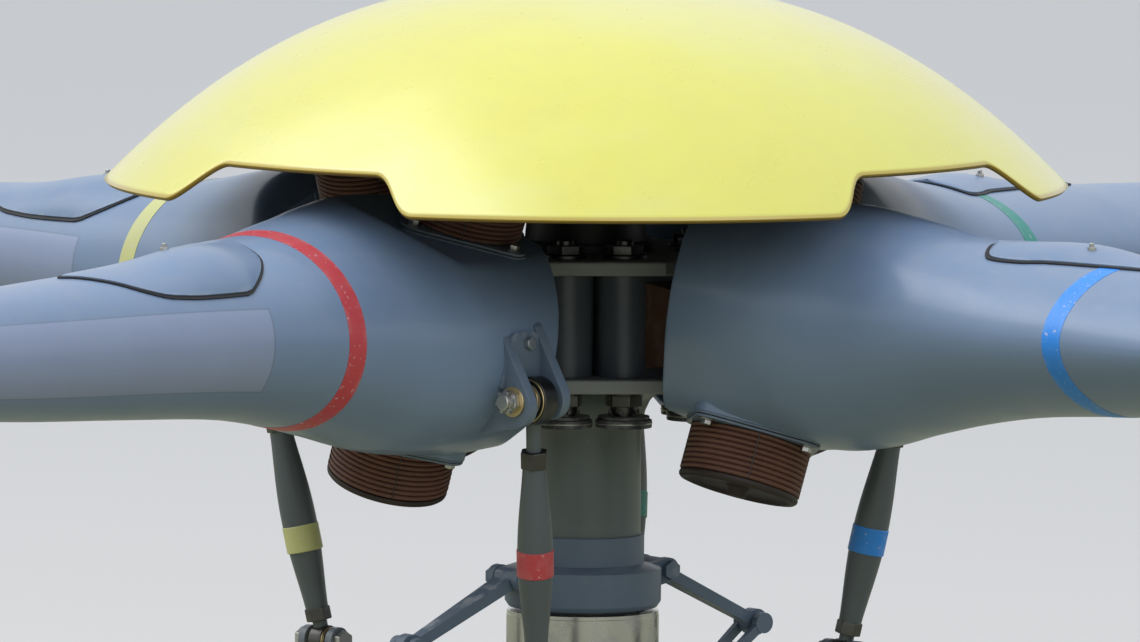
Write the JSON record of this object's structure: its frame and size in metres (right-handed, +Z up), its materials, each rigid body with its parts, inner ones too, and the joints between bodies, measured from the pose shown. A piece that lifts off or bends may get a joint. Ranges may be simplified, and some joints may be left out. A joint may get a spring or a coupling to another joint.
{
  "type": "helicopter main rotor",
  "caption": "Bearingless main rotor: composite blades with hollow root cuffs and dampers, domed hub cap, pitch links, swashplate, mast and mast housing.",
  "frame": {"origin": "centre of the mast housing's bolting face, on the rotor's axis", "axes": "+Z up along the mast towards the hub cap, +X along the blade marked with a light blue band"},
  "size_m": [10.2048, 10.2048, 1.21],
  "materials": {
    "bearing_steel": "smooth",
    "blade_paint": "satin",
    "cap_paint": "gloss",
    "collar_metal": "satin",
    "cuff_paint": "satin",
    "damper_plate": "satin",
    "damper_rubber": "matte",
    "disc_steel": "satin",
    "flexbeam_composite": "satin",
    "horn_metal": "satin",
    "housing_paint": "satin",
    "hub_paint": "satin",
    "lever_paint": "satin",
    "link_paint": "satin",
    "lug_metal": "satin",
    "mast_paint": "satin",
    "plated_bolt": "satin",
    "scissor_metal": "satin",
    "sliding_steel": "smooth",
    "support_composite": "matte",
    "swashplate_metal": "satin"
  },
  "bodies": {
    "housing": {"mast_housing": "housing_paint", "guide_tube": "sliding_steel", "mast_bearings": "bearing_steel", "lever_bracket": "housing_paint"},
    "swashplate_fixed": {"sliding_sleeve": "swashplate_metal", "fixed_ring": "swashplate_metal", "ring_bearing": "bearing_steel"},
    "collective_lever": {"collective_lever": "lever_paint"},
    "rotor": {"mast": "mast_paint", "driver_collar": "collar_metal", "hub_plate_lower": "hub_paint", "hub_plate_upper": "hub_paint", "hub_core": "hub_paint", "root_lugs": "lug_metal", "flexbeams": "flexbeam_composite", "blade_bolts": "plated_bolt", "balance_discs": "disc_steel", "cap_support": "support_composite", "hub_cap": "cap_paint"},
    "swashplate_turning": {"turning_ring": "swashplate_metal", "ring_pins": "plated_bolt"},
    "scissor_upper_1": {"scissor_upper_1": "scissor_metal"},
    "scissor_lower_1": {"scissor_lower_1": "scissor_metal"},
    "scissor_upper_2": {"scissor_upper_2": "scissor_metal"},
    "scissor_lower_2": {"scissor_lower_2": "scissor_metal"},
    "blade_1": {"cuff_1": "cuff_paint", "blade_1": "blade_paint", "damper_rubber_1": "damper_rubber", "damper_plates_1": "damper_plate", "horn_1": "horn_metal"},
    "link_1": {"link_1": "link_paint"},
    "blade_2": {"cuff_2": "cuff_paint", "blade_2": "blade_paint", "damper_rubber_2": "damper_rubber", "damper_plates_2": "damper_plate", "horn_2": "horn_metal"},
    "link_2": {"link_2": "link_paint"},
    "blade_3": {"cuff_3": "cuff_paint", "blade_3": "blade_paint", "damper_rubber_3": "damper_rubber", "damper_plates_3": "damper_plate", "horn_3": "horn_metal"},
    "link_3": {"link_3": "link_paint"},
    "blade_4": {"cuff_4": "cuff_paint", "blade_4": "blade_paint", "damper_rubber_4": "damper_rubber", "damper_plates_4": "damper_plate", "horn_4": "horn_metal"},
    "link_4": {"link_4": "link_paint"}
  },
  "joints": [
    {"name": "rotor_turn", "type": "hinge", "parent": "housing", "child": "rotor", "pos_m": [0, 0, 0.5], "axis": [0, 0, 1], "continuous": true},
    {"name": "collective", "type": "slide", "parent": "housing", "child": "swashplate_fixed", "axis": [0, 0, 1], "range_m": [0, 0.0485]},
    {"name": "ring_lift", "type": "slide", "parent": "rotor", "child": "swashplate_turning", "axis": [0, 0, 1], "range_m": [0, 0.0486]},
    {"name": "lever_pivot", "type": "hinge", "parent": "housing", "child": "collective_lever", "pos_m": [-0.19, 0, 0.35425], "axis": [0, -1, 0], "range_deg": [0, 14.72]},
    {"name": "blade_pitch_1", "type": "hinge", "parent": "rotor", "child": "blade_1", "pos_m": [0, 0, 0.78], "axis": [0.9997, 0, 0.0262], "range_deg": [0, 15.05]},
    {"name": "link_pivot_1", "type": "hinge", "parent": "blade_1", "child": "link_1", "pos_m": [0.28939, 0.17401, 0.73082], "axis": [0.9997, 0, 0.0262], "range_deg": [-17, 0]},
    {"name": "blade_pitch_2", "type": "hinge", "parent": "rotor", "child": "blade_2", "pos_m": [0, 0, 0.78], "axis": [0, 0.9997, 0.0262], "range_deg": [0, 15.05]},
    {"name": "link_pivot_2", "type": "hinge", "parent": "blade_2", "child": "link_2", "pos_m": [-0.17401, 0.28939, 0.73082], "axis": [0, 0.9997, 0.0262], "range_deg": [-17, 0]},
    {"name": "blade_pitch_3", "type": "hinge", "parent": "rotor", "child": "blade_3", "pos_m": [0, 0, 0.78], "axis": [-0.9997, 0, 0.0262], "range_deg": [0, 15.05]},
    {"name": "link_pivot_3", "type": "hinge", "parent": "blade_3", "child": "link_3", "pos_m": [-0.28939, -0.17401, 0.73082], "axis": [-0.9997, 0, 0.0262], "range_deg": [-17, 0]},
    {"name": "blade_pitch_4", "type": "hinge", "parent": "rotor", "child": "blade_4", "pos_m": [0, 0, 0.78], "axis": [0, -0.9997, 0.0262], "range_deg": [0, 15.05]},
    {"name": "link_pivot_4", "type": "hinge", "parent": "blade_4", "child": "link_4", "pos_m": [0.17401, -0.28939, 0.73082], "axis": [0, -0.9997, 0.0262], "range_deg": [-17, 0]},
    {"name": "scissor_top_1", "type": "hinge", "parent": "rotor", "child": "scissor_upper_1", "pos_m": [0.02099, 0.09163, 0.518], "axis": [0.9748, -0.2233, 0], "range_deg": [0, 12.45]},
    {"name": "scissor_low_1", "type": "hinge", "parent": "swashplate_turning", "child": "scissor_lower_1", "pos_m": [0.03795, 0.16571, 0.408], "axis": [-0.9748, 0.2233, 0], "range_deg": [0, 17.4]},
    {"name": "scissor_top_2", "type": "hinge", "parent": "rotor", "child": "scissor_upper_2", "pos_m": [-0.02099, -0.09163, 0.518], "axis": [-0.9748, 0.2233, 0], "range_deg": [0, 12.45]},
    {"name": "scissor_low_2", "type": "hinge", "parent": "swashplate_turning", "child": "scissor_lower_2", "pos_m": [-0.03795, -0.16571, 0.408], "axis": [0.9748, -0.2233, 0], "range_deg": [0, 17.4]}
  ],
  "couplings": [
    {"joint": "ring_lift", "follows": "collective", "ratio": 1},
    {"joint": "lever_pivot", "follows": "collective", "rad_per_m": 5.2775},
    {"joint": "blade_pitch_1", "follows": "collective", "rad_per_m": 5.3979},
    {"joint": "link_pivot_1", "follows": "collective", "rad_per_m": -6.0997},
    {"joint": "blade_pitch_2", "follows": "collective", "rad_per_m": 5.3979},
    {"joint": "link_pivot_2", "follows": "collective", "rad_per_m": -6.0997},
    {"joint": "blade_pitch_3", "follows": "collective", "rad_per_m": 5.3979},
    {"joint": "link_pivot_3", "follows": "collective", "rad_per_m": -6.0997},
    {"joint": "blade_pitch_4", "follows": "collective", "rad_per_m": 5.3979},
    {"joint": "link_pivot_4", "follows": "collective", "rad_per_m": -6.0997},
    {"joint": "scissor_top_1", "follows": "collective", "rad_per_m": 4.4623},
    {"joint": "scissor_low_1", "follows": "collective", "rad_per_m": 6.2436},
    {"joint": "scissor_top_2", "follows": "collective", "rad_per_m": 4.4623},
    {"joint": "scissor_low_2", "follows": "collective", "rad_per_m": 6.2436}
  ]
}
